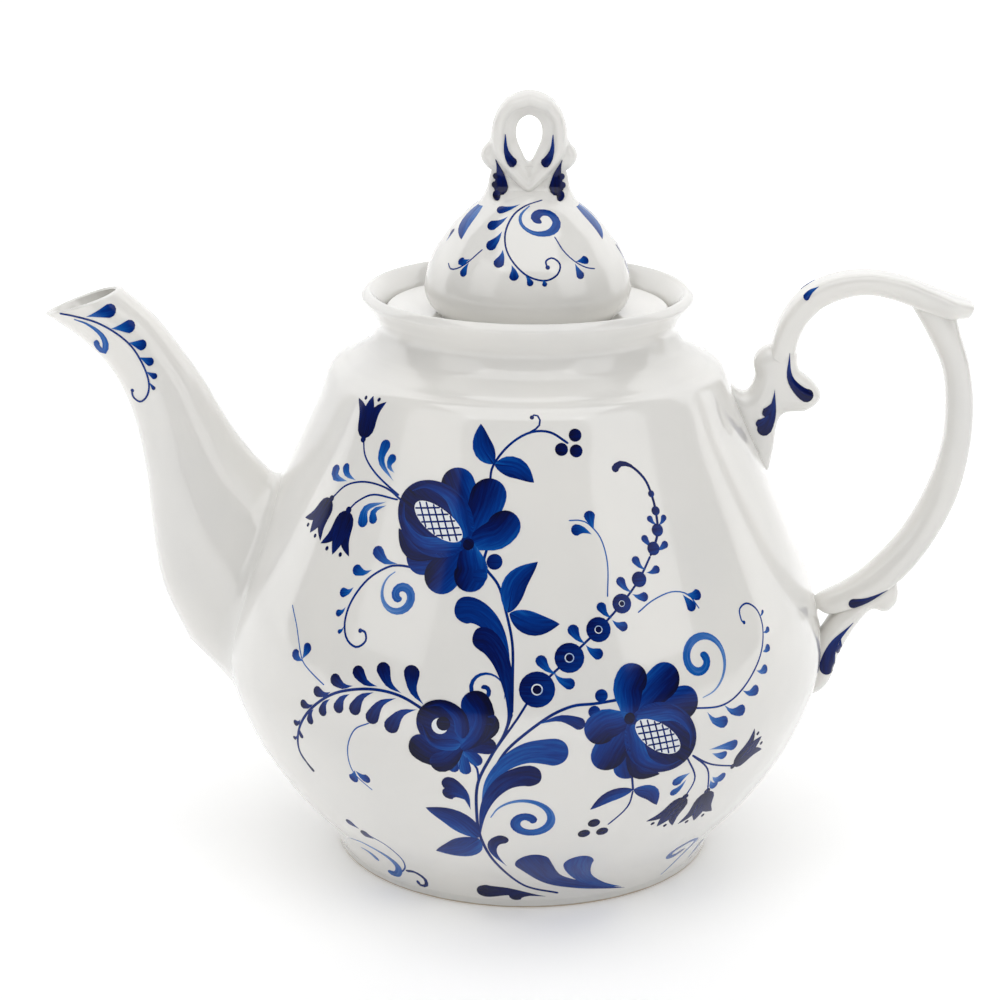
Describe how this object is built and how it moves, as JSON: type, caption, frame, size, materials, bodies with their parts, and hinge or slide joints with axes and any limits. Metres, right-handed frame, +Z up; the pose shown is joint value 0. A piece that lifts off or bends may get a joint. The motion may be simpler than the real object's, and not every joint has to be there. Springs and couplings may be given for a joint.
{
  "type": "teapot",
  "caption": "Porcelain teapot with a bulging body, S-shaped spout, two-strip ear handle and domed lift-off lid with a pierced knob, painted with cobalt flowers.",
  "frame": {"origin": "centre of the standing ring, on the plane that it stands on", "axes": "+Z up along the body's turning axis, -X towards the spout, +X towards the handle, -Y towards the main painted side"},
  "size_m": [0.2478, 0.1626, 0.2084],
  "materials": {
    "porcelain": "clear gloss glaze over white porcelain",
    "porcelain_painted": "clear gloss glaze over white porcelain with cobalt underglaze painting",
    "bare_porcelain": "unglazed, ground smooth",
    "cobalt": "cobalt blue underglaze paint under clear gloss glaze"
  },
  "bodies": {
    "pot": {"pot_wall": "porcelain_painted", "neck_collar": "porcelain", "foot_ring": "bare_porcelain", "spout": "porcelain_painted", "handle_arch": "porcelain_painted", "handle_drop": "porcelain_painted", "handle_upper_root": "porcelain_painted", "handle_lower_root": "porcelain_painted"},
    "lid": {"lid_dome": "porcelain_painted", "lid_brim": "porcelain", "lid_skirt": "bare_porcelain", "knob_stem": "porcelain_painted", "knob_ring": "porcelain_painted"}
  },
  "joints": [
    {"name": "lid_lift", "type": "slide", "parent": "pot", "child": "lid", "axis": [0, 0, 1], "range_m": [0, 0.1]}
  ]
}
